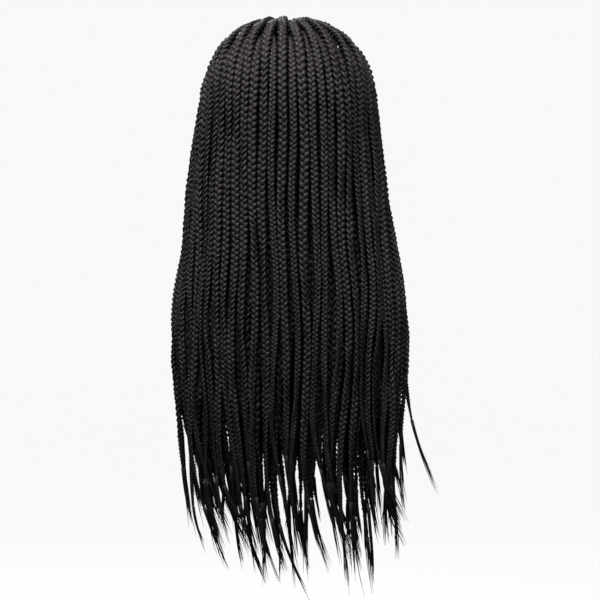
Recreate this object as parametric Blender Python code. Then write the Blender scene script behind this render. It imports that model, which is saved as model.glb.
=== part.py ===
"""A braid wig: a stretch cap that carries five sewn rows of braids and an outer layer of single braids.

The origin is the inside crown of the cap, +Z is up and the face opening looks towards -Y.
Directions on the head are an azimuth, 0 at the back and 180 at the face, and a polar angle from the crown.
"""

import math

import bmesh
import bpy
import numpy as np
from mathutils import Vector, kdtree
from mathutils.bvhtree import BVHTree

# The cap. Half width, half depth and half height of the head hollow.
HEAD_HALF = np.array((0.076, 0.095, 0.095))
CAP_WALL = 0.0015
CAP_OUTSIDE = HEAD_HALF + CAP_WALL
CENTRE = np.array((0.0, 0.0, -HEAD_HALF[2]))
CAP_COLUMNS = 28
CAP_RINGS = 7

# The edge of the cap: azimuth, polar angle. Nape, behind the ear, ear notch, sideburn tab, temple, forehead.
CAP_EDGE = (
    (0, 145),
    (30, 142),
    (48, 132),
    (62, 114),
    (74, 96),
    (84, 91),
    (93, 95),
    (101, 100),
    (109, 92),
    (118, 79),
    (133, 68),
    (152, 61),
    (180, 57),
)

# The outer layer as it hangs from the ears down:
# height, half width, half depth, centre of depth, azimuth of the foremost braid.
CURTAIN = (
    (-0.095, 0.1042, 0.1210, 0.0000, 102),
    (-0.150, 0.1120, 0.1125, 0.0085, 98),
    (-0.203, 0.1178, 0.1000, 0.0225, 94),
    (-0.250, 0.1215, 0.0880, 0.0370, 90),
    (-0.298, 0.1300, 0.0760, 0.0510, 87),
    (-0.335, 0.1365, 0.0690, 0.0590, 84),
    (-0.400, 0.1378, 0.0620, 0.0670, 81),
    (-0.475, 0.1380, 0.0580, 0.0710, 79),
    (-0.670, 0.1365, 0.0520, 0.0760, 78),
)
SIDE_SHIFT = ((-0.20, 0.0), (-0.30, -0.0032), (-0.42, -0.0015))  # it hangs a little to its right
LOW_START = -0.42  # from here down it narrows and leans to its right
LOW_LENGTH = 0.23
LOW_NARROWING = 0.07
LOW_LEAN = 0.008

# How far the outer layer stands off the cap: polar angle, lift.
OUTER_LIFT = ((0, 0.0080), (25, 0.0128), (45, 0.0200), (60, 0.0238), (75, 0.0260), (90, 0.0267))
FRONT_LIFT = 0.0075  # the same in front of the ears

# Depth of each layer under the outer one: at the ears, at the shoulders and below.
LAYER_STEP_HIGH = 0.0102
LAYER_STEP_LOW = 0.0088

# Width of a braid: height, width. From its root it grows to that, and towards the tip it tapers.
BRAID_WIDTH = (
    (0.02, 0.0104),
    (-0.17, 0.0107),
    (-0.28, 0.0097),
    (-0.40, 0.0085),
    (-0.47, 0.0077),
    (-0.53, 0.0070),
    (-0.60, 0.0063),
    (-0.68, 0.0056),
)
WIDTH_SPREAD = 0.13
UNDER_SCALE = 0.94  # the under braids' width, as a share of an outer one's
STRAY_SCALE = 0.78
ROOT_SHARE = 0.70
ROOT_GROWTH = 0.035
TIP_TAPER = 0.12
TIP_WIDTH = 0.0022
ROOM = 0.44  # half the room that a braid takes among the others, as a share of its width
TIP_ROOM = 0.0021

# The outer braids of each side. Their roots run along the parting and then along the hairline towards
# the ear, in two staggered lines. A braid's share is its place between the back, 0, and the face, 1.
SIDE_BRAIDS = 16
PART_SHARE = 0.75
PART_ASIDE = math.radians(4.0)
ROOT_LINES = (
    # rearmost and foremost angle along the parting, angle off it, lift over the layer,
    # degrees off the hairline
    (math.radians(20), math.radians(-46), math.radians(4.5), 0.0034, 5.0),
    (math.radians(36), math.radians(-28), math.radians(18.0), -0.0036, 9.0),
)
HAIRLINE = (165.0, 120.0)  # azimuth of the roots along it, from the parting to the temple
HAIRLINE_BEND = (46.0, 74.0)  # polar angle at which these braids turn down
HAIRLINE_TURN = 0.45  # how far forward of the ear they do, as a share of the way to the root
PART_BEND = (44.0, 61.0)
PART_TURN = 0.34
ROUTE_STEPS = 24
CROWN_BRAID_ROOT = math.radians(-7)  # one left braid comes over the crown, along the parting
CROWN_BRAID_SHARE = 0.035

# The sewn rows: name, braids, polar angle of the weft, azimuth of its end, layer, share of the curtain
# that the row spans. Two rows of one layer alternate.
ROWS = (
    ("crown_row", 19, 39, 128, 1.0, 0.95),
    ("upper_row", 18, 65, 110, 1.0, 0.897),
    ("middle_row", 16, 84, 80, 2.0, 0.90),
    ("lower_row", 15, 104, 60, 2.0, 0.84),
    ("nape_row", 9, 126, 42, 2.9, 0.55),
)
ROW_RISE = 18.0  # the angle over which its braids rise to their layer
WEFT_HEIGHT = 0.007
WEFT_BOTTOM = 0.0005
WEFT_TOP = 0.0024

# How a braid sways, and how braids draw together in clumps below.
SWAY_HIGH = 0.0018
SWAY_LOW = 0.0026
SWAY_PACE = 22.0
SWAY_PACE_SPREAD = 7.0
CLUMP = 0.0040
CLUMP_WAVE = 23.0

# The tips across the wig, from the right edge (-1) to the left edge (1):
# place, height of the longest, how much shorter others may be.
TIPS = (
    (-1.0, -0.605, 0.100),
    (-0.75, -0.641, 0.120),
    (-0.40, -0.656, 0.100),
    (0.0, -0.654, 0.086),
    (0.40, -0.656, 0.092),
    (0.75, -0.634, 0.118),
    (1.0, -0.596, 0.095),
)
TIP_TURN = 0.14  # the length over which a tip turns aside
TIP_DRIFT = -0.008
TIP_CLUMP = 0.0060
TIP_CLUMP_WAVE = 14.0
TIP_SWING = 0.0090
TIP_DEPTH = 0.0025

# The foremost right braid swings clear of the others: height, distance outwards.
STRAY = ((-0.60, 0.040), (-0.535, 0.0160), (-0.50, 0.0100), (-0.46, 0.0070), (-0.40, 0.0050), (-0.33, 0.0))
STRAY_TIP = -0.536

# How the braids settle against each other and the cap.
STATION = 0.008
BRAID_GAP = 0.0025
CAP_GAP = 0.0007
SEAT_GAP = 0.0003
SETTLE_ROUNDS = 150
NEIGHBOUR_REACH = 0.0155
PUSH = 0.40
CAP_FLOOR = -0.177

# How far the straight facets may stray from the smooth routes.
FACET_ERROR = 0.0012
UNDER_FACET_ERROR = 0.0023
LOW_FINER = 0.3  # how much less that is where the braids are thin
OUTER_SIDES = 5
UNDER_SIDES = 4


def look_up(rows, x, column=1):
    """The value of a column at x, read between the rows of a table in rising order of x."""
    if rows[0][0] > rows[-1][0]:
        rows = rows[::-1]
    return np.interp(x, [row[0] for row in rows], [row[column] for row in rows])


def ease(x, low, high):
    """0 at low, 1 at high, with a soft start and end."""
    share = np.clip((x - low) / (high - low), 0.0, 1.0)
    return share * share * (3.0 - 2.0 * share)


def scatter(number, salt):
    """A fixed value from -1 to 1 for a braid."""
    return math.modf(abs(math.sin(number * 12.9898 + salt * 78.233)) * 43758.5453)[0] * 2.0 - 1.0


def direction(azimuth, polar):
    return np.array(
        (math.sin(polar) * math.sin(azimuth), math.sin(polar) * math.cos(azimuth), math.cos(polar))
    )


def on_head(way, lift):
    """The point that stands off the cap by lift in a direction."""
    return (CAP_OUTSIDE + lift) * way / np.linalg.norm(way) + CENTRE


def in_curtain(share, z, layer):
    """The point of a layer at height z, at a share of the way from the back to the foremost braid."""
    step = LAYER_STEP_HIGH + (LAYER_STEP_LOW - LAYER_STEP_HIGH) * ease(-z, 0.10, 0.33)
    half_width = look_up(CURTAIN, z, 1) - layer * step
    half_depth = look_up(CURTAIN, z, 2) - layer * step
    azimuth = share * math.radians(look_up(CURTAIN, z, 4))
    x = half_width * math.sin(azimuth)
    y = look_up(CURTAIN, z, 3) + half_depth * math.cos(azimuth)
    low = np.clip((LOW_START - z) / LOW_LENGTH, 0.0, 1.1)
    x = x * (1.0 - LOW_NARROWING * low) - LOW_LEAN * low * low + look_up(SIDE_SHIFT, z)
    return np.array((x, y, z))


def wander(number, share, z, layer):
    """The sideways sway of a braid, slight on the head and more below."""
    own = SWAY_HIGH * ease(-z, 0.0, 0.07) + SWAY_LOW * ease(-z, 0.14, 0.50)
    own = own * math.sin(z * (SWAY_PACE + SWAY_PACE_SPREAD * scatter(number, 3)) + 3.1 * scatter(number, 12))
    return own + CLUMP * ease(-z, 0.43, 0.58) * math.sin(CLUMP_WAVE * share + 9.0 * z + 2.1 * layer)


def tip_height(number, share):
    return look_up(TIPS, share) + look_up(TIPS, share, 2) * (0.5 + 0.5 * scatter(number, 2))


def hang(number, share, top, bottom, layer, behind):
    """The points of a braid from the height top to its tip, which turns aside."""
    points = []
    for z in np.linspace(top, bottom, max(4, round((top - bottom) / STATION))):
        end = np.clip((bottom + TIP_TURN - z) / TIP_TURN, 0.0, 1.0) ** 2
        point = in_curtain(share, z, layer)
        swing = TIP_SWING * scatter(number, 5) + TIP_CLUMP * math.sin(TIP_CLUMP_WAVE * share + 2.6 * layer)
        point[0] += wander(number, share, z, layer) + end * (TIP_DRIFT + swing)
        point[1] += (1 - 2 * behind) * TIP_DEPTH * end
        points.append(point)
    return points


def outer_share(side, place):
    if side > 0 and place == 0:
        return CROWN_BRAID_SHARE
    return (place + 0.5) / SIDE_BRAIDS


def outer_ways(side, place):
    """The directions in which an outer braid starts, bends and passes the ear, and its extra lift."""
    share = outer_share(side, place)
    rear, front, aside, over, inset = ROOT_LINES[(place + (1 if side < 0 else 0)) % 2]
    ear_azimuth = share * CURTAIN[0][4]
    ear = direction(side * math.radians(ear_azimuth), math.pi / 2)
    if share > PART_SHARE:
        on = (share - PART_SHARE) / (1.0 - PART_SHARE)
        azimuth = HAIRLINE[0] + (HAIRLINE[1] - HAIRLINE[0]) * on
        root = direction(side * math.radians(azimuth), math.radians(look_up(CAP_EDGE, azimuth) - inset))
        turn = ear_azimuth + HAIRLINE_TURN * (azimuth - ear_azimuth)
        bend_polar = HAIRLINE_BEND[0] + (HAIRLINE_BEND[1] - HAIRLINE_BEND[0]) * on
    else:
        along = rear + (front - rear) * (share / PART_SHARE) ** 0.9
        off = PART_ASIDE + side * aside * (0.35 + 0.65 * ease(share, 0.0, 0.2))
        if side > 0 and place == 0:
            along = CROWN_BRAID_ROOT
            off = PART_ASIDE
        root = np.array((math.sin(off), math.sin(along) * math.cos(off), math.cos(along) * math.cos(off)))
        turn = ear_azimuth + PART_TURN * share**3 * (180.0 - ear_azimuth)
        bend_polar = PART_BEND[0] + (PART_BEND[1] - PART_BEND[0]) * share**2
    return root, direction(side * math.radians(turn), math.radians(bend_polar)), ear, over


def outer_route(side, place):
    """An outer braid, from its root beside the parting, over the head and down. place 0 is the rearmost."""
    share = outer_share(side, place)
    number = place if side > 0 else 40 + place
    root, bend, ear, over = outer_ways(side, place)
    points = []
    for step in np.linspace(0.0, 1.0, ROUTE_STEPS):
        way = (1 - step) ** 2 * root + 2 * step * (1 - step) * bend + step**2 * ear
        way = way / np.linalg.norm(way)
        polar = math.degrees(math.acos(np.clip(way[2], -1.0, 1.0)))
        azimuth = math.degrees(math.atan2(abs(way[0]), way[1]))
        lift = look_up(OUTER_LIFT, polar)
        lift += (FRONT_LIFT - lift) * ease(azimuth, 98, 138) * ease(polar, 8, 35)
        lift += over * (1.0 - ease(polar, 40, 72))
        start = ROOM * ROOT_SHARE * BRAID_WIDTH[0][1] - BRAID_GAP / 2.0 + CAP_GAP
        lift = start + (lift - start) * ease(step, -0.05, 0.25)
        points.append(on_head(way, lift))
    stray = side < 0 and place == SIDE_BRAIDS - 1
    bottom = STRAY_TIP if stray else tip_height(number, side * share)
    hanging = hang(number, side * share, CENTRE[2] - STATION, bottom, 0.0, place % 2)
    if stray:
        for point in hanging:
            point[0] -= look_up(STRAY, point[2])
    return points + hanging


def row_number(row, index):
    return 100 + ROWS.index(row) * 20 + index


def row_route(row, index):
    """A braid of a sewn row, from the weft down."""
    name, count, polar, end, layer, cover = row[:6]
    across = index / (count - 1) * 2.0 - 1.0
    number = row_number(row, index)
    share = across * cover
    azimuth = math.radians(across * (end - 3))
    root_lift = ROOM * ROOT_SHARE * BRAID_WIDTH[0][1] * UNDER_SCALE - BRAID_GAP / 2.0 + CAP_GAP
    ear_azimuth = share * math.radians(CURTAIN[0][4])
    points = []
    if polar < 88:
        for angle in np.linspace(polar, 90, max(4, round((90 - polar) / 4))):
            lift = look_up(OUTER_LIFT, angle) - layer * LAYER_STEP_HIGH
            lift = root_lift + max(lift - root_lift, 0.0) * ease(angle - polar, 0.0, ROW_RISE)
            turn = azimuth + (ear_azimuth - azimuth) * ease(angle, polar, 90)
            points.append(on_head(direction(turn, math.radians(angle)), lift))
    bottom = tip_height(number, share)
    top = min(CENTRE[2] - STATION, on_head(direction(azimuth, math.radians(polar)), root_lift)[2])
    for point in hang(number, share, top, bottom, layer, ROWS.index(row) % 2):
        if polar >= 88:
            cosine = np.clip((point[2] - CENTRE[2]) / (CAP_OUTSIDE[2] + root_lift), -1.0, 1.0)
            seat = on_head(direction(azimuth, math.acos(cosine)), root_lift)
            seat[2] = point[2]
            loose = ease(top - point[2], 0.004, 0.055)
            point = seat + (point - seat) * loose
        points.append(point)
    return points


def lengths(route):
    """The distance of each point from the first, along the route."""
    return np.concatenate(((0.0,), np.cumsum(np.linalg.norm(np.diff(route, axis=0), axis=1))))


def even_stations(points):
    """The same route with points a set distance apart, its small kinks smoothed."""
    points = np.array(points)
    length = lengths(points)
    stations = np.linspace(0.0, length[-1], round(length[-1] / STATION) + 1)
    route = np.stack([np.interp(stations, length, points[:, axis]) for axis in range(3)], axis=1)
    for _ in range(6):
        route[1:-1] = 0.25 * route[:-2] + 0.5 * route[1:-1] + 0.25 * route[2:]
    return route


def rooms_of(route, number, scale):
    """Half the room that the braid takes at every station: slim at the root, tapered to the tip."""
    length = lengths(route)
    body = look_up(BRAID_WIDTH, route[:, 2]) * scale * (1.0 + WIDTH_SPREAD * scatter(number, 8))
    body = body * (ROOT_SHARE + (1.0 - ROOT_SHARE) * ease(length, 0.0, ROOT_GROWTH))
    taper = np.clip((length[-1] - length) / TIP_TAPER, 0.0, 1.0) ** 0.75
    return np.maximum(ROOM * (TIP_WIDTH + (body - TIP_WIDTH) * taper), TIP_ROOM)


def clear_of_cap(points, rooms, station):
    """The points moved out until they clear the cap and, past their own roots, the wefts on it."""
    offset = points - CENTRE
    gap = CAP_GAP + (WEFT_TOP + 0.0004 - CAP_GAP) * ease(station, 1.0, 4.0)
    shell = CAP_OUTSIDE + (rooms - BRAID_GAP / 2.0 + gap)[:, None]
    reach = np.linalg.norm(offset / shell, axis=1)
    inside = (reach < 1.0) & (points[:, 2] > CAP_FLOOR)
    moved = points.copy()
    moved[inside] = offset[inside] / reach[inside, None] + CENTRE
    return moved


def settle(routes, rooms):
    """Braids that press on each other are moved apart, the roots staying where they are."""
    starts = np.cumsum([0] + [len(route) for route in routes])
    points = np.concatenate(routes)
    room = np.concatenate(rooms)
    braid = np.concatenate([np.full(len(route), i) for i, route in enumerate(routes)])
    station = np.concatenate([np.arange(len(route)) for route in routes])
    free = np.clip(station / 4.0, 0.0, 1.0)[:, None]
    first = second = None
    for turn in range(SETTLE_ROUNDS):
        if turn % 10 == 0:
            tree = kdtree.KDTree(len(points))
            for i, point in enumerate(points):
                tree.insert(point, i)
            tree.balance()
            pairs = []
            for i, point in enumerate(points):
                for _, j, _ in tree.find_range(point, NEIGHBOUR_REACH):
                    if j > i and braid[i] != braid[j]:
                        pairs.append((i, j))
            first, second = np.array(pairs).T
        tangent = np.zeros_like(points)
        for a, b in zip(starts[:-1], starts[1:]):
            tangent[a:b] = np.gradient(points[a:b], axis=0)
        tangent /= np.linalg.norm(tangent, axis=1)[:, None]
        between = points[second] - points[first]
        way = tangent[first] + tangent[second]
        way /= np.linalg.norm(way, axis=1)[:, None] + 1e-9
        along = np.sum(between * way, axis=1)
        aside = between - along[:, None] * way
        apart = np.linalg.norm(aside, axis=1) + 1e-9
        lack = room[first] + room[second] - apart
        lack = np.where(np.abs(along) < 0.8 * STATION, np.clip(lack, 0.0, None), 0.0)
        push = PUSH * (lack / apart)[:, None] * aside
        move = np.zeros_like(points)
        np.add.at(move, second, push)
        np.add.at(move, first, -push)
        for a, b in zip(starts[:-1], starts[1:]):
            for _ in range(2):
                part = move[a:b]
                part[1:-1] = 0.25 * part[:-2] + 0.5 * part[1:-1] + 0.25 * part[2:]
        points = clear_of_cap(points + move * free, room, station)
    return [points[a:b] for a, b in zip(starts[:-1], starts[1:])]


def fewer_stations(route, error):
    """The stations to keep so that straight pieces between them stay within error of the route."""
    keep = [0]
    while keep[-1] < len(route) - 1:
        start = keep[-1]
        end = start + 1
        while end + 1 < len(route):
            chord = route[end + 1] - route[start]
            chord = chord / np.linalg.norm(chord)
            inner = route[start + 1 : end + 1] - route[start]
            off = inner - np.outer(inner @ chord, chord)
            finer = 1.0 - LOW_FINER * ease(-route[end, 2], 0.36, 0.46)
            if np.linalg.norm(off, axis=1).max() > error * finer:
                break
            end += 1
        keep.append(end)
    return keep


def tube(mesh, route, radii, sides, seat=None):
    """A closed tapered tube along a route, added to a mesh. Its root end is brought down on a seat."""
    tangents = np.gradient(route, axis=0)
    tangents /= np.linalg.norm(tangents, axis=1)[:, None]
    across = np.cross(tangents[0], (0.0, 0.0, 1.0))
    if np.linalg.norm(across) < 1e-6:
        across = np.array((1.0, 0.0, 0.0))
    rings = []
    for point, radius, tangent in zip(route, radii, tangents):
        across = across - tangent * (across @ tangent)
        across /= np.linalg.norm(across)
        other = np.cross(tangent, across)
        ring = []
        for k in range(sides):
            angle = 2.0 * math.pi * k / sides
            ring.append(mesh.verts.new(point + radius * (math.cos(angle) * across + math.sin(angle) * other)))
        rings.append(ring)
    if seat:
        lowest = min(rings[0], key=lambda vert: seat.find_nearest(vert.co)[3]).co
        room = []
        for vert, following in zip(*rings[:2]):
            for share in (0.0, 0.2, 0.4, 0.6, 0.8):
                distance = seat.find_nearest(vert.co.lerp(following.co, share))[3]
                room.append((distance - SEAT_GAP) / (1.0 - share))
        down = (seat.find_nearest(lowest)[0] - lowest).normalized() * min(room)
        for vert in rings[0]:
            vert.co += down
    for low, high in zip(rings[:-1], rings[1:]):
        for k in range(sides):
            nxt = (k + 1) % sides
            mesh.faces.new((low[k], low[nxt], high[nxt], high[k]))
    mesh.faces.new(rings[0][::-1])
    mesh.faces.new(rings[-1])


def add_object(name, mesh, material, collection):
    bmesh.ops.recalc_face_normals(mesh, faces=mesh.faces)
    data = bpy.data.meshes.new(name)
    mesh.to_mesh(data)
    mesh.free()
    data.materials.append(material)
    obj = bpy.data.objects.new(name, data)
    collection.objects.link(obj)
    return obj


def add_material(name, colour, roughness):
    material = bpy.data.materials.new(name)
    material.use_nodes = True
    shader = material.node_tree.nodes["Principled BSDF"]
    shader.inputs["Base Color"].default_value = (*colour, 1.0)
    shader.inputs["Roughness"].default_value = roughness
    shader.inputs["Metallic"].default_value = 0.0
    return material


def add_cap(material, collection):
    """The cap: a thin shell from the crown down to its edge, open below."""
    mesh = bmesh.new()
    skins = []
    for half in (HEAD_HALF, CAP_OUTSIDE):
        crown = mesh.verts.new(half * (0.0, 0.0, 1.0) + CENTRE)
        rings = []
        for ring in range(1, CAP_RINGS + 1):
            row = []
            for column in range(CAP_COLUMNS):
                azimuth = 2.0 * math.pi * column / CAP_COLUMNS
                degrees = math.degrees(min(azimuth, 2.0 * math.pi - azimuth))
                polar = math.radians(look_up(CAP_EDGE, degrees)) * ring / CAP_RINGS
                row.append(mesh.verts.new(half * direction(azimuth, polar) + CENTRE))
            rings.append(row)
        skins.append((crown, rings))
        for column in range(CAP_COLUMNS):
            nxt = (column + 1) % CAP_COLUMNS
            mesh.faces.new((crown, rings[0][column], rings[0][nxt]))
            for upper, lower in zip(rings[:-1], rings[1:]):
                mesh.faces.new((upper[column], lower[column], lower[nxt], upper[nxt]))
    inner_edge = skins[0][1][-1]
    outer_edge = skins[1][1][-1]
    for column in range(CAP_COLUMNS):
        nxt = (column + 1) % CAP_COLUMNS
        mesh.faces.new((inner_edge[column], outer_edge[column], outer_edge[nxt], inner_edge[nxt]))
    bmesh.ops.triangulate(mesh, faces=mesh.faces)
    return add_object("cap", mesh, material, collection)


def add_row(row, routes, radii, material, collection, cutters):
    """A sewn row: the weft along the cap, with its braids fused to it."""
    name, count, polar, end = row[:4]
    weft = bmesh.new()
    half_angle = WEFT_HEIGHT / 2.0 / CAP_OUTSIDE[2]
    sections = []
    column = 360.0 / CAP_COLUMNS
    inner = np.arange(-int(end / column), int(end / column) + 1) * column
    for azimuth in np.radians(np.concatenate(((-end,), inner, (end,)))):
        section = []
        for lift, shift in ((WEFT_BOTTOM, -1), (WEFT_TOP, -1), (WEFT_TOP, 1), (WEFT_BOTTOM, 1)):
            way = direction(azimuth, math.radians(polar) + shift * half_angle)
            section.append(weft.verts.new(on_head(way, lift)))
        sections.append(section)
    for here, there in zip(sections[:-1], sections[1:]):
        for k in range(4):
            nxt = (k + 1) % 4
            weft.faces.new((here[k], here[nxt], there[nxt], there[k]))
    weft.faces.new(sections[0][::-1])
    weft.faces.new(sections[-1])
    obj = add_object(name, weft, material, collection)

    braids = bmesh.new()
    for route, thick in zip(routes, radii):
        keep = fewer_stations(route, UNDER_FACET_ERROR)
        tube(braids, route[keep], thick[keep], UNDER_SIDES)
    cutter = add_object(name + "_braids", braids, material, cutters)
    cutter.hide_render = True
    cutter.display_type = "WIRE"
    union = obj.modifiers.new("braids", "BOOLEAN")
    union.operation = "UNION"
    union.solver = "EXACT"
    union.object = cutter
    return obj


def build():
    for obj in list(bpy.data.objects):
        bpy.data.objects.remove(obj)
    collection = bpy.data.collections.new("braid_wig")
    cutters = bpy.data.collections.new("cutters")
    bpy.context.scene.collection.children.link(collection)
    bpy.context.scene.collection.children.link(cutters)
    cap_net = add_material("cap_net", (0.012, 0.011, 0.011), 0.85)
    braided_hair = add_material("braided_hair", (0.022, 0.019, 0.018), 0.5)
    row_hair = add_material("row_hair", (0.016, 0.014, 0.013), 0.55)

    names = []
    routes = []
    rooms = []
    for side, word in ((1, "left"), (-1, "right")):
        for place in range(SIDE_BRAIDS):
            number = place if side > 0 else 40 + place
            scale = STRAY_SCALE if side < 0 and place == SIDE_BRAIDS - 1 else 1.0
            names.append(f"{word}_braid_{place + 1:02d}")
            routes.append(even_stations(outer_route(side, place)))
            rooms.append(rooms_of(routes[-1], number, scale))
    for row in ROWS:
        for index in range(row[1]):
            names.append(row[0])
            routes.append(even_stations(row_route(row, index)))
            rooms.append(rooms_of(routes[-1], row_number(row, index), UNDER_SCALE))
    routes = settle(routes, rooms)
    radii = [room - BRAID_GAP / 2.0 for room in rooms]

    cap = add_cap(cap_net, collection)
    corners = [Vector(vert.co) for vert in cap.data.vertices]
    seat = BVHTree.FromPolygons(corners, [tuple(face.vertices) for face in cap.data.polygons])
    for name, route, thick in zip(names[: 2 * SIDE_BRAIDS], routes, radii):
        keep = fewer_stations(route, FACET_ERROR)
        mesh = bmesh.new()
        tube(mesh, route[keep], thick[keep], OUTER_SIDES, seat)
        add_object(name, mesh, braided_hair, collection)
    for row in ROWS:
        chosen = [i for i, name in enumerate(names) if name == row[0]]
        add_row(row, [routes[i] for i in chosen], [radii[i] for i in chosen], row_hair, collection, cutters)


build()
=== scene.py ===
"""The look of a braid wig: every braid plaited from three strands, on a net cap, in a pale studio."""

import math

import bpy
import numpy as np
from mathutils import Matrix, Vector, kdtree


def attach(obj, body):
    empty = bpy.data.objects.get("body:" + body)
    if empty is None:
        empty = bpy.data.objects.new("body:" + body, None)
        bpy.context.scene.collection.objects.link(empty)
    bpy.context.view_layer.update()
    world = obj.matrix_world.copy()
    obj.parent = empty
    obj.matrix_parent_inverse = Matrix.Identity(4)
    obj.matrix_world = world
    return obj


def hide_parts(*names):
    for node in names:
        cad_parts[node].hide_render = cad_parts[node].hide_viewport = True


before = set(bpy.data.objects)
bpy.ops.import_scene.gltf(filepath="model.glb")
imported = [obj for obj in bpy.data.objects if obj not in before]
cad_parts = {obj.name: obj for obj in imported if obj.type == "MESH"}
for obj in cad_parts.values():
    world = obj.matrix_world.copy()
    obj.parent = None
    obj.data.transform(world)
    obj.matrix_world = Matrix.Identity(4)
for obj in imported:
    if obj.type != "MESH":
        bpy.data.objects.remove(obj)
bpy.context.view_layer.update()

# The cap and the curtain of braids, with the values that the solids have.
HEAD_HALF = np.array((0.076, 0.095, 0.095))
CAP_WALL = 0.0015
CAP_OUTSIDE = HEAD_HALF + CAP_WALL
CENTRE = np.array((0.0, 0.0, -HEAD_HALF[2]))

# The edge of the cap: azimuth, polar angle. Nape, behind the ear, ear notch, sideburn tab, temple, forehead.
CAP_EDGE = (
    (0, 145),
    (30, 142),
    (48, 132),
    (62, 114),
    (74, 96),
    (84, 91),
    (93, 95),
    (101, 100),
    (109, 92),
    (118, 79),
    (133, 68),
    (152, 61),
    (180, 57),
)

# The outer layer as it hangs from the ears down:
# height, half width, half depth, centre of depth, azimuth of the foremost braid.
CURTAIN = (
    (-0.095, 0.1042, 0.1210, 0.0000, 102),
    (-0.150, 0.1120, 0.1125, 0.0085, 98),
    (-0.203, 0.1178, 0.1000, 0.0225, 94),
    (-0.250, 0.1215, 0.0880, 0.0370, 90),
    (-0.298, 0.1300, 0.0760, 0.0510, 87),
    (-0.335, 0.1365, 0.0690, 0.0590, 84),
    (-0.400, 0.1378, 0.0620, 0.0670, 81),
    (-0.475, 0.1380, 0.0580, 0.0710, 79),
    (-0.670, 0.1365, 0.0520, 0.0760, 78),
)
SIDE_SHIFT = ((-0.20, 0.0), (-0.30, -0.0032), (-0.42, -0.0015))  # it hangs a little to its right
LOW_START = -0.42  # from here down it narrows and leans to its right
LOW_LENGTH = 0.23
LOW_NARROWING = 0.07
LOW_LEAN = 0.008

# How far the outer layer stands off the cap: polar angle, lift.
OUTER_LIFT = ((0, 0.0080), (25, 0.0128), (45, 0.0200), (60, 0.0238), (75, 0.0260), (90, 0.0267))
FRONT_LIFT = 0.0075  # the same in front of the ears

# Depth of each layer under the outer one: at the ears, at the shoulders and below.
LAYER_STEP_HIGH = 0.0102
LAYER_STEP_LOW = 0.0088

# Width of a braid: height, width. From its root it grows to that, and towards the tip it tapers.
BRAID_WIDTH = (
    (0.02, 0.0104),
    (-0.17, 0.0107),
    (-0.28, 0.0097),
    (-0.40, 0.0085),
    (-0.47, 0.0077),
    (-0.53, 0.0070),
    (-0.60, 0.0063),
    (-0.68, 0.0056),
)
WIDTH_SPREAD = 0.13
UNDER_SCALE = 0.94  # the under braids' width, as a share of an outer one's
STRAY_SCALE = 0.78
ROOT_SHARE = 0.70
ROOT_GROWTH = 0.035
TIP_TAPER = 0.12
TIP_WIDTH = 0.0022
ROOM = 0.44  # half the room that a braid takes among the others, as a share of its width
TIP_ROOM = 0.0021

# The outer braids of each side. Their roots run along the parting and then along the hairline towards
# the ear, in two staggered lines. A braid's share is its place between the back, 0, and the face, 1.
SIDE_BRAIDS = 16
PART_SHARE = 0.75
PART_ASIDE = math.radians(4.0)
ROOT_LINES = (
    # rearmost and foremost angle along the parting, angle off it, lift over the layer,
    # degrees off the hairline
    (math.radians(20), math.radians(-46), math.radians(4.5), 0.0034, 5.0),
    (math.radians(36), math.radians(-28), math.radians(18.0), -0.0036, 9.0),
)
HAIRLINE = (165.0, 120.0)  # azimuth of the roots along it, from the parting to the temple
HAIRLINE_BEND = (46.0, 74.0)  # polar angle at which these braids turn down
HAIRLINE_TURN = 0.45  # how far forward of the ear they do, as a share of the way to the root
PART_BEND = (44.0, 61.0)
PART_TURN = 0.34
ROUTE_STEPS = 24
CROWN_BRAID_ROOT = math.radians(-7)  # one left braid comes over the crown, along the parting
CROWN_BRAID_SHARE = 0.035

# The sewn rows: name, braids, polar angle of the weft, azimuth of its end, layer, share of the curtain
# that the row spans. Two rows of one layer alternate.
ROWS = (
    ("crown_row", 19, 39, 128, 1.0, 0.95),
    ("upper_row", 18, 65, 110, 1.0, 0.897),
    ("middle_row", 16, 84, 80, 2.0, 0.90),
    ("lower_row", 15, 104, 60, 2.0, 0.84),
    ("nape_row", 9, 126, 42, 2.9, 0.55),
)
ROW_RISE = 18.0  # the angle over which its braids rise to their layer
WEFT_HEIGHT = 0.007
WEFT_BOTTOM = 0.0005
WEFT_TOP = 0.0024

# How a braid sways, and how braids draw together in clumps below.
SWAY_HIGH = 0.0018
SWAY_LOW = 0.0026
SWAY_PACE = 22.0
SWAY_PACE_SPREAD = 7.0
CLUMP = 0.0040
CLUMP_WAVE = 23.0

# The tips across the wig, from the right edge (-1) to the left edge (1):
# place, height of the longest, how much shorter others may be.
TIPS = (
    (-1.0, -0.605, 0.100),
    (-0.75, -0.641, 0.120),
    (-0.40, -0.656, 0.100),
    (0.0, -0.654, 0.086),
    (0.40, -0.656, 0.092),
    (0.75, -0.634, 0.118),
    (1.0, -0.596, 0.095),
)
TIP_TURN = 0.14  # the length over which a tip turns aside
TIP_DRIFT = -0.008
TIP_CLUMP = 0.0060
TIP_CLUMP_WAVE = 14.0
TIP_SWING = 0.0090
TIP_DEPTH = 0.0025

# The foremost right braid swings clear of the others: height, distance outwards.
STRAY = ((-0.60, 0.040), (-0.535, 0.0160), (-0.50, 0.0100), (-0.46, 0.0070), (-0.40, 0.0050), (-0.33, 0.0))
STRAY_TIP = -0.536

# How the braids settle against each other and the cap.
STATION = 0.008
BRAID_GAP = 0.0025
CAP_GAP = 0.0007
SETTLE_ROUNDS = 150
NEIGHBOUR_REACH = 0.0155
PUSH = 0.40
CAP_FLOOR = -0.177


# The plait, each as a share of the braid's width: length of a turn, swing of a strand to the sides and
# in depth, half a strand's width and depth.
TURN = 1.95
SWING = 0.248
DEPTH = 0.190
STRAND_WIDE = 0.262
STRAND_DEEP = 0.180

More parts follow.
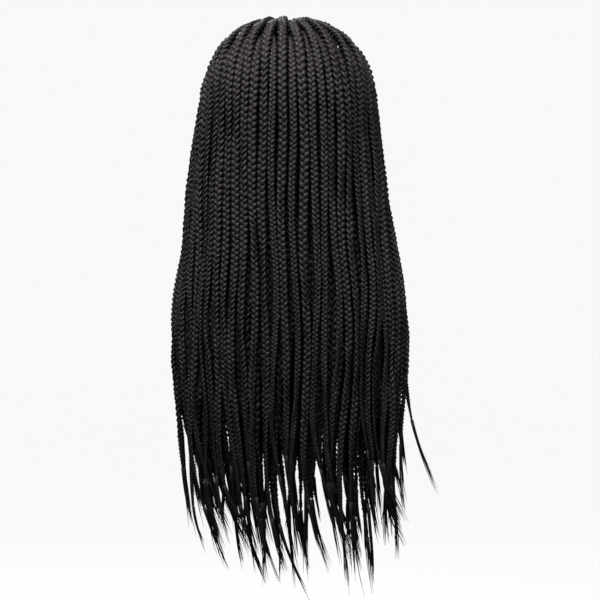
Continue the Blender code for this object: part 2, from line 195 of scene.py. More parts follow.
# How unlike the plaits are: in the length of a turn, in how they twist, in how loose they are and in how
# full each strand is. The angles are in degrees and the waves are lengths along the braid.
TURN_SPREAD = 0.10
TWIST_HIGH = 34.0
TWIST_MORE = 46.0  # what comes to it from the ears down
SIDE_ON = 55.0  # the twist of the braids that hang side-on
SIDE_ON_LEAN = (0.55, 0.75)  # how strong a braid's lean must be for that
SIDE_ON_HIGH = 0.35
TWIST_WAVE = 0.20
LOOSENESS = 0.10
LOOSE_WAVE = 0.05
STRAND_SPREAD = 0.13
STRAND_WAVE = 0.04

# The braid as it shows: it starts in a knot, and past the end of its plait it runs out in loose tufts.
KNOT_SHARE = 0.55
KNOT_GROWN = 0.85
KNOT_LENGTH = 0.005
PLAIT_END = 0.54  # width at the end of the plait, as a share of the full width
PLAIT_TAPER = 0.095
PLAIT_CLOSING = 0.010  # over this length its strands run together
PLAIT_CLOSED = 0.35
WISP = 0.058
WISP_SPREAD = 0.020

# The tufts of a wisp. They start apart by a share of the plait's end, and are as thick as another.
TUFTS = 10
TUFT_RINGS = 8
TUFT_OVERLAP = 0.006
TUFT_START = 0.34
TUFT_WIDTH = 0.22
TUFT_POINT = 0.00009
TUFT_REACH = 0.98
TUFT_REACH_SPREAD = 0.30
TUFT_PARTING = 0.0046
TUFT_BEND = 0.0016
WISP_LEAN = -0.0030  # how far a wisp leans to the wig's right, and how unlike the wisps are in that
WISP_LEAN_SPREAD = 0.0060
WISP_DEPTH_SPREAD = 0.0030

# How full the plaits are, as a share of the braid's width: height, share. The rows are looser plaits.
OUTER_FULLNESS = (
    (0.02, 1.20),
    (-0.03, 1.17),
    (-0.09, 1.0),
    (-0.33, 1.0),
    (-0.39, 1.07),
    (-0.46, 1.13),
    (-0.55, 1.13),
)
ROW_FULLNESS = (
    (-0.02, 1.16),
    (-0.10, 1.08),
    (-0.18, 1.08),
    (-0.28, 1.38),
    (-0.36, 1.52),
    (-0.42, 1.57),
    (-0.50, 1.46),
    (-0.58, 1.32),
)

# The numbers that the braids' scatter goes by: a right braid's place and a row's braids start from these.
RIGHT_NUMBER = 40
FIRST_ROW_NUMBER = 100
ROW_NUMBERS = 20

# Samples in a turn of the braid and sides of a strand.
OUTER_DETAIL = (10, 6)
ROW_DETAIL = {
    "crown_row": (7, 5),
    "upper_row": (7, 5),
    "middle_row": (6, 4),
    "lower_row": (6, 4),
    "nape_row": (6, 4),
}
FULL_WIDTH = 0.0100  # a braid this wide gets the most samples a turn
LEAST_DENSITY = 0.62
FINE_STATION = 0.002
FINE_ROUNDS = 10
TUFT_SIDES = 4
FIBRE_UNIT = 0.01  # the length along a strand that is 1 in the fibre coordinate


def look_up(rows, x, column=1):
    """The value of a column at x, read between the rows of a table."""
    if rows[0][0] > rows[-1][0]:
        rows = rows[::-1]
    return np.interp(x, [row[0] for row in rows], [row[column] for row in rows])


def ease(x, low, high):
    """0 at low, 1 at high, with a soft start and end."""
    share = np.clip((x - low) / (high - low), 0.0, 1.0)
    return share * share * (3.0 - 2.0 * share)


def scatter(number, salt):
    """A fixed value from -1 to 1 for a braid."""
    return math.modf(abs(math.sin(number * 12.9898 + salt * 78.233)) * 43758.5453)[0] * 2.0 - 1.0


def direction(azimuth, polar):
    return np.array(
        (math.sin(polar) * math.sin(azimuth), math.sin(polar) * math.cos(azimuth), math.cos(polar))
    )


def on_head(way, lift):
    """The point that stands off the cap by lift in a direction."""
    return (CAP_OUTSIDE + lift) * way / np.linalg.norm(way) + CENTRE


def in_curtain(share, z, layer):
    """The point of a layer at height z, at a share of the way from the back to the foremost braid."""
    step = LAYER_STEP_HIGH + (LAYER_STEP_LOW - LAYER_STEP_HIGH) * ease(-z, 0.10, 0.33)
    half_width = look_up(CURTAIN, z, 1) - layer * step
    half_depth = look_up(CURTAIN, z, 2) - layer * step
    azimuth = share * math.radians(look_up(CURTAIN, z, 4))
    x = half_width * math.sin(azimuth)
    y = look_up(CURTAIN, z, 3) + half_depth * math.cos(azimuth)
    low = np.clip((LOW_START - z) / LOW_LENGTH, 0.0, 1.1)
    x = x * (1.0 - LOW_NARROWING * low) - LOW_LEAN * low * low + look_up(SIDE_SHIFT, z)
    return np.array((x, y, z))


def wander(number, share, z, layer):
    """The sideways sway of a braid, slight on the head and more below."""
    own = SWAY_HIGH * ease(-z, 0.0, 0.07) + SWAY_LOW * ease(-z, 0.14, 0.50)
    own = own * math.sin(z * (SWAY_PACE + SWAY_PACE_SPREAD * scatter(number, 3)) + 3.1 * scatter(number, 12))
    return own + CLUMP * ease(-z, 0.43, 0.58) * math.sin(CLUMP_WAVE * share + 9.0 * z + 2.1 * layer)


def tip_height(number, share):
    return look_up(TIPS, share) + look_up(TIPS, share, 2) * (0.5 + 0.5 * scatter(number, 2))


def hang(number, share, top, bottom, layer, behind):
    """The points of a braid from the height top to its tip, which turns aside."""
    points = []
    for z in np.linspace(top, bottom, max(4, round((top - bottom) / STATION))):
        end = np.clip((bottom + TIP_TURN - z) / TIP_TURN, 0.0, 1.0) ** 2
        point = in_curtain(share, z, layer)
        swing = TIP_SWING * scatter(number, 5) + TIP_CLUMP * math.sin(TIP_CLUMP_WAVE * share + 2.6 * layer)
        point[0] += wander(number, share, z, layer) + end * (TIP_DRIFT + swing)
        point[1] += (1 - 2 * behind) * TIP_DEPTH * end
        points.append(point)
    return points


def outer_number(side, place):
    return place if side > 0 else RIGHT_NUMBER + place


def outer_share(side, place):
    if side > 0 and place == 0:
        return CROWN_BRAID_SHARE
    return (place + 0.5) / SIDE_BRAIDS


def outer_ways(side, place):
    """The directions in which an outer braid starts, bends and passes the ear, and its extra lift."""
    share = outer_share(side, place)
    rear, front, aside, over, inset = ROOT_LINES[(place + (1 if side < 0 else 0)) % 2]
    ear_azimuth = share * CURTAIN[0][4]
    ear = direction(side * math.radians(ear_azimuth), math.pi / 2)
    if share > PART_SHARE:
        on = (share - PART_SHARE) / (1.0 - PART_SHARE)
        azimuth = HAIRLINE[0] + (HAIRLINE[1] - HAIRLINE[0]) * on
        root = direction(side * math.radians(azimuth), math.radians(look_up(CAP_EDGE, azimuth) - inset))
        turn = ear_azimuth + HAIRLINE_TURN * (azimuth - ear_azimuth)
        bend_polar = HAIRLINE_BEND[0] + (HAIRLINE_BEND[1] - HAIRLINE_BEND[0]) * on
    else:
        along = rear + (front - rear) * (share / PART_SHARE) ** 0.9
        off = PART_ASIDE + side * aside * (0.35 + 0.65 * ease(share, 0.0, 0.2))
        if side > 0 and place == 0:
            along = CROWN_BRAID_ROOT
            off = PART_ASIDE
        root = np.array((math.sin(off), math.sin(along) * math.cos(off), math.cos(along) * math.cos(off)))
        turn = ear_azimuth + PART_TURN * share**3 * (180.0 - ear_azimuth)
        bend_polar = PART_BEND[0] + (PART_BEND[1] - PART_BEND[0]) * share**2
    return root, direction(side * math.radians(turn), math.radians(bend_polar)), ear, over


def outer_route(side, place):
    """An outer braid, from its root beside the parting, over the head and down. place 0 is the rearmost."""
    share = outer_share(side, place)
    number = outer_number(side, place)
    root, bend, ear, over = outer_ways(side, place)
    points = []
    for step in np.linspace(0.0, 1.0, ROUTE_STEPS):
        way = (1 - step) ** 2 * root + 2 * step * (1 - step) * bend + step**2 * ear
        way = way / np.linalg.norm(way)
        polar = math.degrees(math.acos(np.clip(way[2], -1.0, 1.0)))
        azimuth = math.degrees(math.atan2(abs(way[0]), way[1]))
        lift = look_up(OUTER_LIFT, polar)
        lift += (FRONT_LIFT - lift) * ease(azimuth, 98, 138) * ease(polar, 8, 35)
        lift += over * (1.0 - ease(polar, 40, 72))
        start = ROOM * ROOT_SHARE * BRAID_WIDTH[0][1] - BRAID_GAP / 2.0 + CAP_GAP
        lift = start + (lift - start) * ease(step, -0.05, 0.25)
        points.append(on_head(way, lift))
    stray = side < 0 and place == SIDE_BRAIDS - 1
    bottom = STRAY_TIP if stray else tip_height(number, side * share)
    hanging = hang(number, side * share, CENTRE[2] - STATION, bottom, 0.0, place % 2)
    if stray:
        for point in hanging:
            point[0] -= look_up(STRAY, point[2])
    return points + hanging


def row_number(row, index):
    return FIRST_ROW_NUMBER + ROWS.index(row) * ROW_NUMBERS + index


def row_route(row, index):
    """A braid of a sewn row, from the weft down."""
    _, count, polar, end, layer, cover = row
    across = index / (count - 1) * 2.0 - 1.0
    number = row_number(row, index)
    share = across * cover
    azimuth = math.radians(across * (end - 3))
    root_lift = ROOM * ROOT_SHARE * BRAID_WIDTH[0][1] * UNDER_SCALE - BRAID_GAP / 2.0 + CAP_GAP
    ear_azimuth = share * math.radians(CURTAIN[0][4])
    points = []
    if polar < 88:
        for angle in np.linspace(polar, 90, max(4, round((90 - polar) / 4))):
            lift = look_up(OUTER_LIFT, angle) - layer * LAYER_STEP_HIGH
            lift = root_lift + max(lift - root_lift, 0.0) * ease(angle - polar, 0.0, ROW_RISE)
            turn = azimuth + (ear_azimuth - azimuth) * ease(angle, polar, 90)
            points.append(on_head(direction(turn, math.radians(angle)), lift))
    bottom = tip_height(number, share)
    top = min(CENTRE[2] - STATION, on_head(direction(azimuth, math.radians(polar)), root_lift)[2])
    for point in hang(number, share, top, bottom, layer, ROWS.index(row) % 2):
        if polar >= 88:
            cosine = np.clip((point[2] - CENTRE[2]) / (CAP_OUTSIDE[2] + root_lift), -1.0, 1.0)
            seat = on_head(direction(azimuth, math.acos(cosine)), root_lift)
            seat[2] = point[2]
            loose = ease(top - point[2], 0.004, 0.055)
            point = seat + (point - seat) * loose
        points.append(point)
    return points


def lengths(route):
    """The distance of each point from the first, along the route."""
    return np.concatenate(((0.0,), np.cumsum(np.linalg.norm(np.diff(route, axis=0), axis=1))))


def points_at(s, length, route):
    """The points of a route at the lengths s."""
    return np.stack([np.interp(s, length, route[:, axis]) for axis in range(3)], axis=1)


def even_stations(points, spacing=STATION, rounds=6):
    """The same route with points a set distance apart, its small kinks smoothed."""
    points = np.array(points)
    length = lengths(points)
    stations = np.linspace(0.0, length[-1], round(length[-1] / spacing) + 1)
    route = points_at(stations, length, points)
    for _ in range(rounds):
        route[1:-1] = 0.25 * route[:-2] + 0.5 * route[1:-1] + 0.25 * route[2:]
    return route


def rooms_of(route, number, scale):
    """Half the room that the braid takes at every station: slim at the root, tapered to the tip."""
    length = lengths(route)
    body = look_up(BRAID_WIDTH, route[:, 2]) * scale * (1.0 + WIDTH_SPREAD * scatter(number, 8))
    body = body * (ROOT_SHARE + (1.0 - ROOT_SHARE) * ease(length, 0.0, ROOT_GROWTH))
    taper = np.clip((length[-1] - length) / TIP_TAPER, 0.0, 1.0) ** 0.75
    return np.maximum(ROOM * (TIP_WIDTH + (body - TIP_WIDTH) * taper), TIP_ROOM)


def clear_of_cap(points, rooms, station):
    """The points moved out until they clear the cap and, past their own roots, the wefts on it."""
    offset = points - CENTRE
    gap = CAP_GAP + (WEFT_TOP + 0.0004 - CAP_GAP) * ease(station, 1.0, 4.0)
    shell = CAP_OUTSIDE + (rooms - BRAID_GAP / 2.0 + gap)[:, None]
    reach = np.linalg.norm(offset / shell, axis=1)
    inside = (reach < 1.0) & (points[:, 2] > CAP_FLOOR)
    moved = points.copy()
    moved[inside] = offset[inside] / reach[inside, None] + CENTRE
    return moved


def settle(routes, rooms):
    """Braids that press on each other are moved apart, the roots staying where they are."""
    starts = np.cumsum([0] + [len(route) for route in routes])
    points = np.concatenate(routes)
    room = np.concatenate(rooms)
    braid = np.concatenate([np.full(len(route), i) for i, route in enumerate(routes)])
    station = np.concatenate([np.arange(len(route)) for route in routes])
    free = np.clip(station / 4.0, 0.0, 1.0)[:, None]
    first = second = None
    for turn in range(SETTLE_ROUNDS):
        if turn % 10 == 0:
            tree = kdtree.KDTree(len(points))
            for i, point in enumerate(points):
                tree.insert(point, i)
            tree.balance()
            pairs = []
            for i, point in enumerate(points):
                for _, j, _ in tree.find_range(point, NEIGHBOUR_REACH):
                    if j > i and braid[i] != braid[j]:
                        pairs.append((i, j))
            first, second = np.array(pairs).T
        tangent = np.zeros_like(points)
        for a, b in zip(starts[:-1], starts[1:]):
            tangent[a:b] = np.gradient(points[a:b], axis=0)
        tangent /= np.linalg.norm(tangent, axis=1)[:, None]
        between = points[second] - points[first]
        way = tangent[first] + tangent[second]
        way /= np.linalg.norm(way, axis=1)[:, None] + 1e-9
        along = np.sum(between * way, axis=1)
        aside = between - along[:, None] * way
        apart = np.linalg.norm(aside, axis=1) + 1e-9
        lack = room[first] + room[second] - apart
        lack = np.where(np.abs(along) < 0.8 * STATION, np.clip(lack, 0.0, None), 0.0)
        push = PUSH * (lack / apart)[:, None] * aside
        move = np.zeros_like(points)
        np.add.at(move, second, push)
        np.add.at(move, first, -push)
        for a, b in zip(starts[:-1], starts[1:]):
            for _ in range(2):
                part = move[a:b]
                part[1:-1] = 0.25 * part[:-2] + 0.5 * part[1:-1] + 0.25 * part[2:]
        points = clear_of_cap(points + move * free, room, station)
    return [points[a:b] for a, b in zip(starts[:-1], starts[1:])]


def widths_of(route, number, scale):
    """Width of the braid as it shows, at every station."""
    length = lengths(route)
    body = look_up(BRAID_WIDTH, route[:, 2]) * scale * (1.0 + WIDTH_SPREAD * scatter(number, 8))
    full = OUTER_FULLNESS if number < FIRST_ROW_NUMBER else ROW_FULLNESS
    body = body * look_up(full, route[:, 2])
    knot = KNOT_SHARE + (KNOT_GROWN - KNOT_SHARE) * ease(length, 0.0, KNOT_LENGTH)
    body = body * (knot + (1.0 - knot) * ease(length, 0.0, ROOT_GROWTH))
    left = np.clip((length[-1] - WISP - length) / PLAIT_TAPER, 0.0, 1.0)
    return body * (PLAIT_END + (1.0 - PLAIT_END) * left**0.8)


CROWN_RADIUS = 0.104  # of the braids over the crown


def outward(points):
    """The direction away from the head or from the inside of the curtain at each point."""
    height = np.minimum(points[:, 2], CENTRE[2])
    centre_y = look_up(CURTAIN, height, 3)
    half_width = look_up(CURTAIN, height, 1)
    half_depth = look_up(CURTAIN, height, 2)
    way = np.zeros_like(points)
    way[:, 0] = points[:, 0] / half_width**2
    way[:, 1] = (points[:, 1] - centre_y) / half_depth**2
    way[:, 2] = np.maximum(points[:, 2] - CENTRE[2], 0.0) / CROWN_RADIUS**2
    return way / np.linalg.norm(way, axis=1)[:, None]


def unit(vectors):
    return vectors / (np.linalg.norm(vectors, axis=-1, keepdims=True) + 1e-12)


class Mesh:
    """Points, faces and their coordinates, gathered before they become one piece."""

    def __init__(self):
        self.points = []
        self.faces = []
        self.coords = []
        self.count = 0

    def tube(self, rings, u_turns, v, shift):
        """A closed tube through rings of points. u_turns and v are the fibre coordinates, v one per ring."""
        count, sides = rings.shape[:2]
        base = self.count
        self.points.append(rings.reshape(-1, 3))
        ends = np.stack((rings[0].mean(axis=0), rings[-1].mean(axis=0)))
        self.points.append(ends)
        self.count += count * sides + 2
        i, k = np.meshgrid(np.arange(count - 1), np.arange(sides), indexing="ij")
        nxt = (k + 1) % sides
        row = base + i * sides
        quads = np.stack((row + k, row + nxt, row + sides + nxt, row + sides + k), axis=-1).reshape(-1, 4)
        u0 = k / sides * u_turns + shift
        u1 = (k + 1) / sides * u_turns + shift
        va = v[:-1][i]
        vb = v[1:][i]
        coords = np.stack(
            (np.stack((u0, va), -1), np.stack((u1, va), -1), np.stack((u1, vb), -1), np.stack((u0, vb), -1)),
            axis=2,
        ).reshape(-1, 4, 2)
        self.faces.append(quads)
        self.coords.append(coords)
        k = np.arange(sides)
        nxt = (k + 1) % sides
        first = base + count * sides
        last = base + (count - 1) * sides
        cap_a = np.stack((np.full(sides, first), base + nxt, base + k), axis=1)
        cap_b = np.stack((np.full(sides, first + 1), last + k, last + nxt), axis=1)
        for caps, height in ((cap_a, v[0]), (cap_b, v[-1])):
            self.faces.append(caps)
            flat = np.zeros((sides, 3, 2))
            flat[..., 0] = shift
            flat[..., 1] = height
            self.coords.append(flat)

    def piece(self, name, material, nodes):
        """The gathered mesh as one piece of the object."""
        points = np.concatenate(self.points)
        corner_count = sum(faces.size for faces in self.faces)
        face_count = sum(len(faces) for faces in self.faces)
        data = bpy.data.meshes.new(name)
        data.vertices.add(len(points))
        data.vertices.foreach_set("co", points.astype(np.float32).ravel())
        data.loops.add(corner_count)
        corners = np.concatenate([faces.ravel() for faces in self.faces])
        data.loops.foreach_set("vertex_index", corners.astype(np.int32))
        sizes = np.concatenate([np.full(len(faces), faces.shape[1]) for faces in self.faces])
        starts = np.concatenate(((0,), np.cumsum(sizes)[:-1]))
        data.polygons.add(face_count)
        data.polygons.foreach_set("loop_start", starts.astype(np.int32))
        data.polygons.foreach_set("use_smooth", np.ones(face_count, dtype=bool))
        layer = data.uv_layers.new(name="fibre")
        coords = np.concatenate([part.reshape(-1) for part in self.coords])
        layer.uv.foreach_set("vector", coords.astype(np.float32))
        data.update(calc_edges=True)
        data.validate()
        data.materials.append(material)
        obj = bpy.data.objects.new(name, data)
        bpy.context.scene.collection.objects.link(obj)
        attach(obj, "root")
        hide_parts(*nodes)
        return obj


def running_sum(rate, x):
    """What a rate adds up to along x, from 0."""
    return np.concatenate(((0.0,), np.cumsum(0.5 * (rate[1:] + rate[:-1]) * np.diff(x))))


def slow_noise(number, salt, s, wave):
    """A smooth wave of three terms, from -1 to 1, different for every braid."""
    total = 0.0
    for term, (ratio, share) in enumerate(((1.0, 0.5), (1.7, 0.3), (2.9, 0.2))):
        phase = math.pi * scatter(number, salt + term)
        total = total + share * np.sin(2.0 * math.pi * s * ratio / wave + phase)
    return total


def add_braid(mesh, route, widths, number, detail):
    """A plait of three strands along a route, ending in loose tufts."""
    per_turn, sides = detail
    coarse = lengths(route)
    fine = even_stations(route, FINE_STATION, FINE_ROUNDS)
    length = lengths(fine)
    width = np.interp(length, coarse * (length[-1] / coarse[-1]), widths)
    wisp = WISP + WISP_SPREAD * scatter(number, 21)
    end = length[-1] - wisp

    # Samples along the plait, denser where it is wide.
    pace = 2.0 * math.pi / (TURN * (1.0 + TURN_SPREAD * scatter(number, 22)) * width)
    angle = running_sum(pace, length)
    density = per_turn / (2.0 * math.pi) * np.clip(width / FULL_WIDTH, LEAST_DENSITY, 1.0)
    index = running_sum(density, angle)
    most = np.interp(np.interp(end, length, angle), angle, index)
    samples = np.interp(np.linspace(0.0, most, max(8, math.ceil(most))), index, angle)
    s = np.interp(samples, angle, length)

    centre = points_at(s, length, fine)
    w = np.interp(s, length, width)
    tangent = unit(np.gradient(centre, s, axis=0))
    face = outward(centre)
    face = unit(face - tangent * np.sum(face * tangent, axis=1)[:, None])
    across = np.cross(tangent, face)
    low = ease(-centre[:, 2], 0.10, 0.45)
    twist = np.radians(TWIST_HIGH + TWIST_MORE * low) * slow_noise(number, 30, s, TWIST_WAVE)
    lean = scatter(number, 35)
    side_on = np.radians(SIDE_ON) * ease(abs(lean), *SIDE_ON_LEAN) * np.sign(lean)
    twist += side_on * (SIDE_ON_HIGH + (1.0 - SIDE_ON_HIGH) * low)
    face, across = (
        np.cos(twist)[:, None] * face + np.sin(twist)[:, None] * across,
        np.cos(twist)[:, None] * across - np.sin(twist)[:, None] * face,
    )
    loose = 1.0 + LOOSENESS * slow_noise(number, 40, s, LOOSE_WAVE)
    start = math.pi * scatter(number, 45)
    ending = np.clip((end + 0.001 - s) / PLAIT_CLOSING, PLAIT_CLOSED, 1.0)
    hand = 1.0 if scatter(number, 47) > 0.0 else -1.0
    for strand in range(3):
        t = samples + start + strand * 2.0 * math.pi / 3.0
        bulk = ending * (1.0 + STRAND_SPREAD * slow_noise(number * 3 + strand, 50, s, STRAND_WAVE))
        offset = (hand * SWING * w * loose * ending * np.sin(t))[:, None] * across
        offset = offset - (DEPTH * w * ending * np.sin(2.0 * t))[:, None] * face
        path = centre + offset
        along = unit(np.gradient(path, s, axis=0))
        wide = unit(np.cross(face, along))
        deep = np.cross(along, wide)
        k = 2.0 * math.pi * (np.arange(sides) + 0.5) / sides
        ring = (
            path[:, None, :]
            + (STRAND_WIDE * w * bulk)[:, None, None] * np.cos(k)[None, :, None] * wide[:, None, :]
            + (STRAND_DEEP * w * bulk)[:, None, None] * np.sin(k)[None, :, None] * deep[:, None, :]
        )
        mesh.tube(ring, 1.0, s / FIBRE_UNIT + 3.7 * strand, number * 2.0 + strand * 0.31)

    tail = np.linspace(0.0, 1.0, TUFT_RINGS)[:, None]
    begin = end - TUFT_OVERLAP
    guide = points_at(begin + tail[:, 0] * (length[-1] - begin), length, fine)
    add_tufts(mesh, guide, tail, w[-1], across[-1], face[-1], wisp, number)


def add_tufts(mesh, guide, tail, width, across, face, wisp, number):
    """The loose end of a braid: pointed tufts of unlike length that lean, bend and part a little."""
    lean = WISP_LEAN - WISP_LEAN_SPREAD * scatter(number, 90)
    guide = guide + np.array((lean, WISP_DEPTH_SPREAD * scatter(number, 91), 0.0)) * tail**1.7
    k = 2.0 * math.pi * np.arange(TUFT_SIDES) / TUFT_SIDES
    for tuft in range(TUFTS):
        aim = math.pi * scatter(number, 60 + tuft)
        spread = math.cos(aim) * across + 0.6 * math.sin(aim) * face
        reach = TUFT_REACH + TUFT_REACH_SPREAD * scatter(number, 70 + tuft)
        apart = TUFT_PARTING * (0.12 + scatter(number, 65 + tuft) ** 2) * tail**1.6
        bend = TUFT_BEND * np.sin(3.2 * tail + 3.0 * scatter(number, 80 + tuft)) * tail
        path = guide[0] + (guide - guide[0]) * reach + (apart + bend) * spread
        path = path + TUFT_START * width * (1.0 - tail) ** 0.9 * spread
        thin = width * TUFT_WIDTH * (1.0 - tail[:, 0]) ** 0.80 + TUFT_POINT
        ring = path[:, None, :] + thin[:, None, None] * (
            np.cos(k)[None, :, None] * across + np.sin(k)[None, :, None] * face
        )
        mesh.tube(ring, 1.0, tail[:, 0] * wisp / FIBRE_UNIT, number * 2.0 + tuft * 0.17)


# The finishes: how many noise cells lie across and along a strand, for the fine streaks, the coarse ones
# and the tone that differs from braid to braid.
STREAKS = (26.0, 0.9)
COARSE_STREAKS = (7.0, 0.35)
BRAID_TONES = (0.47, 0.02)
DARKEST_BRAID = 0.60

# dark and light tone of the fibre, roughness. The under braids' tones are darker than the outer ones' as
# painted shade, for the shade among and behind the outer braids: the hair is one and the same fibre.
OUTER_FIBRE = ((0.0062, 0.0050, 0.0052), (0.0300, 0.0240, 0.0248), 0.47)
# painted shade: the same fibre as the outer braids, made darker for the shade that falls on the under layer
PAINTED_SHADE_UNDER_FIBRE = ((0.0050, 0.0042, 0.0044), (0.0172, 0.0146, 0.0152), 0.50)
NET_GROUND = (0.0030, 0.0028, 0.0028)
NET_THREAD = (0.0110, 0.0098, 0.0100)
NET_ROUGHNESS = 0.72


def new_material(name):
    material = bpy.data.materials.new(name)
    material.use_nodes = True
    tree = material.node_tree
    return material, tree.nodes, tree.links, tree.nodes["Principled BSDF"]


def fibre_noise(nodes, links, cells, detail, roughness=0.5):
    """Noise over the fibre coordinate, with cells across and along the strand."""
    uv = nodes.new("ShaderNodeUVMap")
    uv.uv_map = "fibre"
    stretch = nodes.new("ShaderNodeMapping")
    stretch.inputs["Scale"].default_value = (*cells, 1.0)
    links.new(uv.outputs["UV"], stretch.inputs["Vector"])
    noise = nodes.new("ShaderNodeTexNoise")
    noise.inputs["Scale"].default_value = 1.0
    noise.inputs["Detail"].default_value = detail
    noise.inputs["Roughness"].default_value = roughness
    links.new(stretch.outputs["Vector"], noise.inputs["Vector"])
    return noise.outputs["Fac"]


def spread_over(nodes, links, value, from_range, to_range=(0.0, 1.0)):
    """The value, carried over from one range to another."""
    node = nodes.new("ShaderNodeMapRange")
    node.inputs["From Min"].default_value, node.inputs["From Max"].default_value = from_range
    node.inputs["To Min"].default_value, node.inputs["To Max"].default_value = to_range
    links.new(value, node.inputs["Value"])
    return node


def colour_between(nodes, links, share, dark, light, socket):
    """A colour between dark and light, by share, into a socket."""
    colour = nodes.new("ShaderNodeMix")
    colour.data_type = "RGBA"
    colour.inputs["A"].default_value = (*dark, 1.0)
    colour.inputs["B"].default_value = (*light, 1.0)
    links.new(share, colour.inputs["Factor"])
    links.new(colour.outputs["Result"], socket)


def relief(nodes, links, height, strength, distance, socket):
    bump = nodes.new("ShaderNodeBump")
    bump.inputs["Strength"].default_value = strength
    bump.inputs["Distance"].default_value = distance
    links.new(height, bump.inputs["Height"])
    links.new(bump.outputs["Normal"], socket)


def hair_material(name, dark, light, roughness):
    """Black fibre: fine streaks along the strand in colour, gloss and relief."""
    material, nodes, links, shader = new_material(name)
    shader.inputs["Specular IOR Level"].default_value = 0.28
    streak = fibre_noise(nodes, links, STREAKS, 3.0, 0.6)
    coarse = fibre_noise(nodes, links, COARSE_STREAKS, 2.0)
    both = nodes.new("ShaderNodeMath")
    both.operation = "ADD"
    links.new(streak, both.inputs[0])
    links.new(coarse, both.inputs[1])
    ramp = spread_over(nodes, links, both.outputs["Value"], (0.75, 1.25))
    braid_tone = fibre_noise(nodes, links, BRAID_TONES, 1.0)
    tone = spread_over(nodes, links, braid_tone, (0.32, 0.68), (DARKEST_BRAID, 1.0))
    links.new(tone.outputs["Result"], ramp.inputs["To Max"])
    colour_between(nodes, links, ramp.outputs["Result"], dark, light, shader.inputs["Base Color"])
    gloss = spread_over(nodes, links, streak, (0.3, 0.7), (roughness - 0.07, roughness + 0.09))
    links.new(gloss.outputs["Result"], shader.inputs["Roughness"])
    relief(nodes, links, both.outputs["Value"], 0.55, 0.0005, shader.inputs["Normal"])
    return material


def net_material(name):
    """Stretch net: a fine grid in colour and relief."""
    material, nodes, links, shader = new_material(name)
    shader.inputs["Sheen Weight"].default_value = 0.05
    shader.inputs["Sheen Roughness"].default_value = 0.5
    shader.inputs["Roughness"].default_value = NET_ROUGHNESS
    uv = nodes.new("ShaderNodeUVMap")
    uv.uv_map = "fibre"
    grid = nodes.new("ShaderNodeTexVoronoi")
    grid.feature = "DISTANCE_TO_EDGE"
    grid.inputs["Scale"].default_value = 1.0
    grid.inputs["Randomness"].default_value = 0.12
    links.new(uv.outputs["UV"], grid.inputs["Vector"])
    thread = spread_over(nodes, links, grid.outputs["Distance"], (0.06, 0.22), (1.0, 0.0))
    thread = thread.outputs["Result"]
    colour_between(nodes, links, thread, NET_GROUND, NET_THREAD, shader.inputs["Base Color"])
    relief(nodes, links, thread, 0.7, 0.0004, shader.inputs["Normal"])
    return material


# The net cap: the mesh over it, its elastic hem, the size of a mesh of the net.
CAP_COLUMNS = 120
CAP_RINGS = 30
CAP_CROWN_HOLE = 0.02
CAP_SKIN_DROP = 0.0002
HEM_HEIGHT = 0.0075
HEM_BEAD = 0.0005
HEM_RADIUS = 0.09
CAP_CORNER_ROUNDS = 12
NET_MESH_DEGREES = 2.2
NET_MESHES_UP = 90.0
WEFT_COLUMNS = 90

# A weft's section: lift off the cap and place across the weft, from -1 to 1.
WEFT_SECTION = (
    (WEFT_BOTTOM, -0.9),
    (WEFT_TOP * 0.8, -1.0),
    (WEFT_TOP, -0.8),
    (WEFT_TOP, 0.8),
    (WEFT_TOP * 0.8, 1.0),
    (WEFT_BOTTOM, 0.9),
)


def cap_edge_table():
    """The cap's edge at every degree of azimuth, its corners rounded."""
    degrees = np.arange(360)
    folded = np.minimum(degrees, 360 - degrees)
    edge = look_up(CAP_EDGE, folded)
    for _ in range(CAP_CORNER_ROUNDS):
        edge = 0.25 * np.roll(edge, 1) + 0.5 * edge + 0.25 * np.roll(edge, -1)
    return degrees, edge


def add_cap(material):
    """The net cap: a smooth shell with a thicker elastic hem along its edge."""
    degrees, edge = cap_edge_table()
    mesh = Mesh()
    rings = []
    heights = []
    mid = HEAD_HALF + CAP_WALL / 2.0
    # One closed skin, from the inner crown over the edge to the outer crown.
    profile = [(share, -1) for share in np.linspace(CAP_CROWN_HOLE, 1.0, CAP_RINGS)]
    profile += [(share, 1) for share in np.linspace(1.0, CAP_CROWN_HOLE, CAP_RINGS)]
    for share, face in profile:
        ring = []
        for column in range(CAP_COLUMNS):
            azimuth = 2.0 * math.pi * column / CAP_COLUMNS
            rim = math.radians(np.interp(math.degrees(azimuth), degrees, edge, period=360))
            to_edge = (1.0 - share) * rim
            bead = HEM_BEAD * float(ease(-to_edge * HEM_RADIUS, -HEM_HEIGHT, -HEM_HEIGHT * 0.8))
            half = mid + face * (CAP_WALL / 2.0 - CAP_SKIN_DROP + bead)
            ring.append(half * direction(azimuth, rim * share) + CENTRE)
        rings.append(ring)
        heights.append(share * NET_MESHES_UP)
    mesh.tube(np.array(rings), 360.0 / NET_MESH_DEGREES, np.array(heights), 0.0)
    mesh.piece("net_cap", material, ["cap"])


def add_weft(mesh, polar, end):
    """The sewn strip that a row of braids hangs from."""
    half_angle = WEFT_HEIGHT / 2.0 / CAP_OUTSIDE[2]
    azimuths = np.radians(np.linspace(-end, end, WEFT_COLUMNS))
    rings = []
    for azimuth in azimuths:
        ring = []
        for lift, place in WEFT_SECTION:
            ring.append(on_head(direction(azimuth, math.radians(polar) + place * half_angle), lift))
        rings.append(ring)
    mesh.tube(np.array(rings), 1.0, azimuths * 9.0, 0.0)


